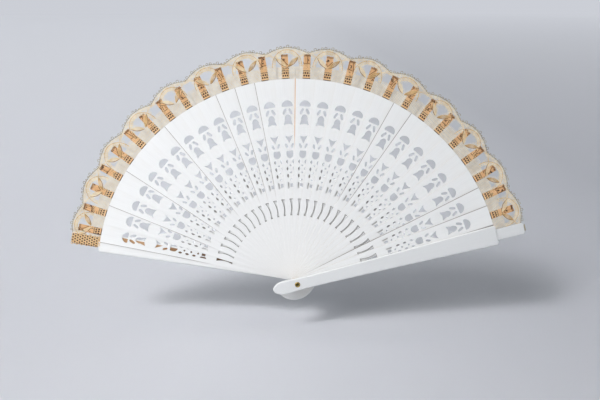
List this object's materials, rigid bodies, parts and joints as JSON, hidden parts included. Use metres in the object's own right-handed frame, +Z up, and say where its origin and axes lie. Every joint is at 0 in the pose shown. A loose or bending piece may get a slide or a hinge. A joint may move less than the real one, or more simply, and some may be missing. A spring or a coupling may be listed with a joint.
{
  "type": "lace folding fan",
  "caption": "Folding hand fan of pierced white wooden sticks on one rivet between two thick guards, with a scalloped lace border on the stick tips.",
  "frame": {"origin": "on the rivet's axis, halfway through the stack of sticks, where the fan is held", "axes": "+X towards the front guard's side, +Y from the front of the fan to its back along the rivet, +Z up along the middle of the spread fan"},
  "size_m": [0.4077, 0.0349, 0.2273],
  "materials": {
    "painted_wood": "thin white paint, satin",
    "lace": "cream and gold thread",
    "brass": "aged"
  },
  "bodies": {
    "front_guard": {"front_guard": "painted_wood", "lace_00": "lace", "rivet": "brass", "rivet_washer": "brass"},
    "stick_01": {"stick_01": "painted_wood", "lace_01": "lace"},
    "stick_02": {"stick_02": "painted_wood", "lace_02": "lace"},
    "stick_03": {"stick_03": "painted_wood", "lace_03": "lace"},
    "stick_04": {"stick_04": "painted_wood", "lace_04": "lace"},
    "stick_05": {"stick_05": "painted_wood", "lace_05": "lace"},
    "stick_06": {"stick_06": "painted_wood", "lace_06": "lace"},
    "stick_07": {"stick_07": "painted_wood", "lace_07": "lace"},
    "stick_08": {"stick_08": "painted_wood", "lace_08": "lace"},
    "stick_09": {"stick_09": "painted_wood", "lace_09": "lace"},
    "stick_10": {"stick_10": "painted_wood", "lace_10": "lace"},
    "stick_11": {"stick_11": "painted_wood", "lace_11": "lace"},
    "stick_12": {"stick_12": "painted_wood", "lace_12": "lace"},
    "stick_13": {"stick_13": "painted_wood", "lace_13": "lace"},
    "stick_14": {"stick_14": "painted_wood", "lace_14": "lace"},
    "stick_15": {"stick_15": "painted_wood", "lace_15": "lace"},
    "stick_16": {"stick_16": "painted_wood", "lace_16": "lace"},
    "stick_17": {"stick_17": "painted_wood", "lace_17": "lace"},
    "stick_18": {"stick_18": "painted_wood", "lace_18": "lace"},
    "stick_19": {"stick_19": "painted_wood", "lace_19": "lace"},
    "stick_20": {"stick_20": "painted_wood", "lace_20": "lace"},
    "stick_21": {"stick_21": "painted_wood", "lace_21": "lace"},
    "stick_22": {"stick_22": "painted_wood", "lace_22": "lace"},
    "stick_23": {"stick_23": "painted_wood", "lace_23": "lace"},
    "stick_24": {"stick_24": "painted_wood", "lace_24": "lace"},
    "stick_25": {"stick_25": "painted_wood", "lace_25": "lace"},
    "stick_26": {"stick_26": "painted_wood", "lace_26": "lace"},
    "stick_27": {"stick_27": "painted_wood", "lace_27": "lace"},
    "rear_guard": {"rear_guard": "painted_wood", "lace_28": "lace"}
  },
  "joints": [
    {"name": "fan_fold", "type": "hinge", "parent": "front_guard", "child": "stick_01", "pos_m": [0, 0, 0], "axis": [0, 1, 0], "range_deg": [0, 5.65]},
    {"name": "stick_02_fold", "type": "hinge", "parent": "stick_01", "child": "stick_02", "pos_m": [0, 0, 0], "axis": [0, 1, 0], "range_deg": [0, 5.65]},
    {"name": "stick_03_fold", "type": "hinge", "parent": "stick_02", "child": "stick_03", "pos_m": [0, 0, 0], "axis": [0, 1, 0], "range_deg": [0, 5.65]},
    {"name": "stick_04_fold", "type": "hinge", "parent": "stick_03", "child": "stick_04", "pos_m": [0, 0, 0], "axis": [0, 1, 0], "range_deg": [0, 5.65]},
    {"name": "stick_05_fold", "type": "hinge", "parent": "stick_04", "child": "stick_05", "pos_m": [0, 0, 0], "axis": [0, 1, 0], "range_deg": [0, 5.65]},
    {"name": "stick_06_fold", "type": "hinge", "parent": "stick_05", "child": "stick_06", "pos_m": [0, 0, 0], "axis": [0, 1, 0], "range_deg": [0, 5.65]},
    {"name": "stick_07_fold", "type": "hinge", "parent": "stick_06", "child": "stick_07", "pos_m": [0, 0, 0], "axis": [0, 1, 0], "range_deg": [0, 5.65]},
    {"name": "stick_08_fold", "type": "hinge", "parent": "stick_07", "child": "stick_08", "pos_m": [0, 0, 0], "axis": [0, 1, 0], "range_deg": [0, 5.65]},
    {"name": "stick_09_fold", "type": "hinge", "parent": "stick_08", "child": "stick_09", "pos_m": [0, 0, 0], "axis": [0, 1, 0], "range_deg": [0, 5.65]},
    {"name": "stick_10_fold", "type": "hinge", "parent": "stick_09", "child": "stick_10", "pos_m": [0, 0, 0], "axis": [0, 1, 0], "range_deg": [0, 5.65]},
    {"name": "stick_11_fold", "type": "hinge", "parent": "stick_10", "child": "stick_11", "pos_m": [0, 0, 0], "axis": [0, 1, 0], "range_deg": [0, 5.65]},
    {"name": "stick_12_fold", "type": "hinge", "parent": "stick_11", "child": "stick_12", "pos_m": [0, 0, 0], "axis": [0, 1, 0], "range_deg": [0, 5.65]},
    {"name": "stick_13_fold", "type": "hinge", "parent": "stick_12", "child": "stick_13", "pos_m": [0, 0, 0], "axis": [0, 1, 0], "range_deg": [0, 5.65]},
    {"name": "stick_14_fold", "type": "hinge", "parent": "stick_13", "child": "stick_14", "pos_m": [0, 0, 0], "axis": [0, 1, 0], "range_deg": [0, 5.65]},
    {"name": "stick_15_fold", "type": "hinge", "parent": "stick_14", "child": "stick_15", "pos_m": [0, 0, 0], "axis": [0, 1, 0], "range_deg": [0, 5.65]},
    {"name": "stick_16_fold", "type": "hinge", "parent": "stick_15", "child": "stick_16", "pos_m": [0, 0, 0], "axis": [0, 1, 0], "range_deg": [0, 5.65]},
    {"name": "stick_17_fold", "type": "hinge", "parent": "stick_16", "child": "stick_17", "pos_m": [0, 0, 0], "axis": [0, 1, 0], "range_deg": [0, 5.65]},
    {"name": "stick_18_fold", "type": "hinge", "parent": "stick_17", "child": "stick_18", "pos_m": [0, 0, 0], "axis": [0, 1, 0], "range_deg": [0, 5.65]},
    {"name": "stick_19_fold", "type": "hinge", "parent": "stick_18", "child": "stick_19", "pos_m": [0, 0, 0], "axis": [0, 1, 0], "range_deg": [0, 5.65]},
    {"name": "stick_20_fold", "type": "hinge", "parent": "stick_19", "child": "stick_20", "pos_m": [0, 0, 0], "axis": [0, 1, 0], "range_deg": [0, 5.65]},
    {"name": "stick_21_fold", "type": "hinge", "parent": "stick_20", "child": "stick_21", "pos_m": [0, 0, 0], "axis": [0, 1, 0], "range_deg": [0, 5.65]},
    {"name": "stick_22_fold", "type": "hinge", "parent": "stick_21", "child": "stick_22", "pos_m": [0, 0, 0], "axis": [0, 1, 0], "range_deg": [0, 5.65]},
    {"name": "stick_23_fold", "type": "hinge", "parent": "stick_22", "child": "stick_23", "pos_m": [0, 0, 0], "axis": [0, 1, 0], "range_deg": [0, 5.65]},
    {"name": "stick_24_fold", "type": "hinge", "parent": "stick_23", "child": "stick_24", "pos_m": [0, 0, 0], "axis": [0, 1, 0], "range_deg": [0, 5.65]},
    {"name": "stick_25_fold", "type": "hinge", "parent": "stick_24", "child": "stick_25", "pos_m": [0, 0, 0], "axis": [0, 1, 0], "range_deg": [0, 5.65]},
    {"name": "stick_26_fold", "type": "hinge", "parent": "stick_25", "child": "stick_26", "pos_m": [0, 0, 0], "axis": [0, 1, 0], "range_deg": [0, 5.65]},
    {"name": "stick_27_fold", "type": "hinge", "parent": "stick_26", "child": "stick_27", "pos_m": [0, 0, 0], "axis": [0, 1, 0], "range_deg": [0, 5.65]},
    {"name": "rear_guard_fold", "type": "hinge", "parent": "stick_27", "child": "rear_guard", "pos_m": [0, 0, 0], "axis": [0, 1, 0], "range_deg": [0, 3.2]}
  ],
  "couplings": [
    {"joint": "stick_02_fold", "follows": "fan_fold", "ratio": 1},
    {"joint": "stick_03_fold", "follows": "fan_fold", "ratio": 1},
    {"joint": "stick_04_fold", "follows": "fan_fold", "ratio": 1},
    {"joint": "stick_05_fold", "follows": "fan_fold", "ratio": 1},
    {"joint": "stick_06_fold", "follows": "fan_fold", "ratio": 1},
    {"joint": "stick_07_fold", "follows": "fan_fold", "ratio": 1},
    {"joint": "stick_08_fold", "follows": "fan_fold", "ratio": 1},
    {"joint": "stick_09_fold", "follows": "fan_fold", "ratio": 1},
    {"joint": "stick_10_fold", "follows": "fan_fold", "ratio": 1},
    {"joint": "stick_11_fold", "follows": "fan_fold", "ratio": 1},
    {"joint": "stick_12_fold", "follows": "fan_fold", "ratio": 1},
    {"joint": "stick_13_fold", "follows": "fan_fold", "ratio": 1},
    {"joint": "stick_14_fold", "follows": "fan_fold", "ratio": 1},
    {"joint": "stick_15_fold", "follows": "fan_fold", "ratio": 1},
    {"joint": "stick_16_fold", "follows": "fan_fold", "ratio": 1},
    {"joint": "stick_17_fold", "follows": "fan_fold", "ratio": 1},
    {"joint": "stick_18_fold", "follows": "fan_fold", "ratio": 1},
    {"joint": "stick_19_fold", "follows": "fan_fold", "ratio": 1},
    {"joint": "stick_20_fold", "follows": "fan_fold", "ratio": 1},
    {"joint": "stick_21_fold", "follows": "fan_fold", "ratio": 1},
    {"joint": "stick_22_fold", "follows": "fan_fold", "ratio": 1},
    {"joint": "stick_23_fold", "follows": "fan_fold", "ratio": 1},
    {"joint": "stick_24_fold", "follows": "fan_fold", "ratio": 1},
    {"joint": "stick_25_fold", "follows": "fan_fold", "ratio": 1},
    {"joint": "stick_26_fold", "follows": "fan_fold", "ratio": 1},
    {"joint": "stick_27_fold", "follows": "fan_fold", "ratio": 1},
    {"joint": "rear_guard_fold", "follows": "fan_fold", "ratio": 0.56637}
  ]
}
